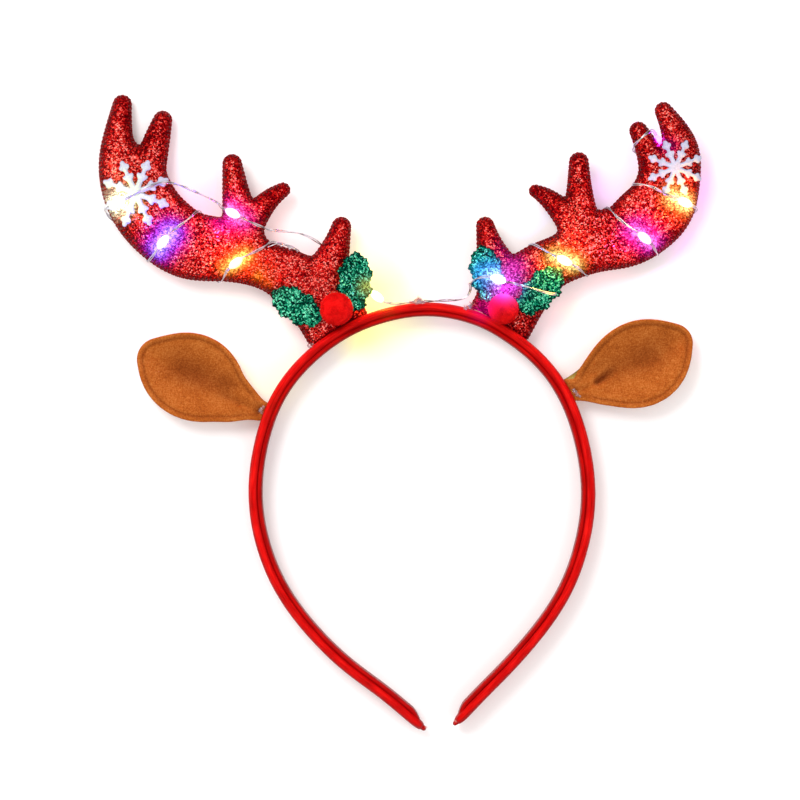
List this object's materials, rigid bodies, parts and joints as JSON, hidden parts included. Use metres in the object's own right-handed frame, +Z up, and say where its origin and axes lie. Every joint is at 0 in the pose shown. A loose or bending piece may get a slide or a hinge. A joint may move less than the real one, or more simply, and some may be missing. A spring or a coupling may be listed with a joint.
{
  "type": "antler headband",
  "caption": "Costume hoop headband lying flat, with stuffed glitter antlers, felt ears, holly leaves, pompoms, felt snowflakes and a wire string of small lights.",
  "frame": {"origin": "middle of the band's lower edge at its crown, where it rests on the table", "axes": "the hoop lies in the XY plane; +Y from the hoop's mouth through its crown towards the antlers; +X to the right as seen from above; +Z up from the table"},
  "size_m": [0.2169, 0.2289, 0.0234],
  "materials": {
    "satin": "satin cloth drawn tight round the hoop",
    "lining": "plain woven strip",
    "red_glitter_cloth": "cloth coated with fine red glitter",
    "brown_felt": "matt felt",
    "white_felt": "matt felt",
    "green_glitter_cloth": "cloth coated with fine green glitter",
    "red_wool": "fuzzy yarn",
    "silver_wire": "bright bare wire",
    "warm_drop": "clear resin, lit warm white",
    "pink_drop": "clear resin, lit pink",
    "cream_drop": "clear resin, lit cream",
    "violet_drop": "clear resin, lit violet",
    "amber_drop": "clear resin, lit amber",
    "blue_drop": "clear resin, lit blue"
  },
  "bodies": {
    "root": {"hairband": "satin", "hairband_lining": "lining", "left_antler": "red_glitter_cloth", "left_ear": "brown_felt", "left_snowflake": "white_felt", "left_outer_leaf": "green_glitter_cloth", "left_inner_leaf": "green_glitter_cloth", "left_pompom": "red_wool", "left_light_wire": "silver_wire", "right_antler": "red_glitter_cloth", "right_ear": "brown_felt", "right_snowflake": "white_felt", "right_outer_leaf": "green_glitter_cloth", "right_inner_leaf": "green_glitter_cloth", "right_pompom": "red_wool", "right_light_wire": "silver_wire", "left_light_drop_1": "warm_drop", "left_light_drop_2": "pink_drop", "left_light_drop_3": "cream_drop", "left_light_drop_4": "violet_drop", "left_light_drop_5": "amber_drop", "right_light_drop_1": "blue_drop", "right_light_drop_2": "warm_drop", "right_light_drop_3": "pink_drop", "right_light_drop_4": "amber_drop", "right_light_drop_5": "violet_drop"}
  },
  "joints": []
}
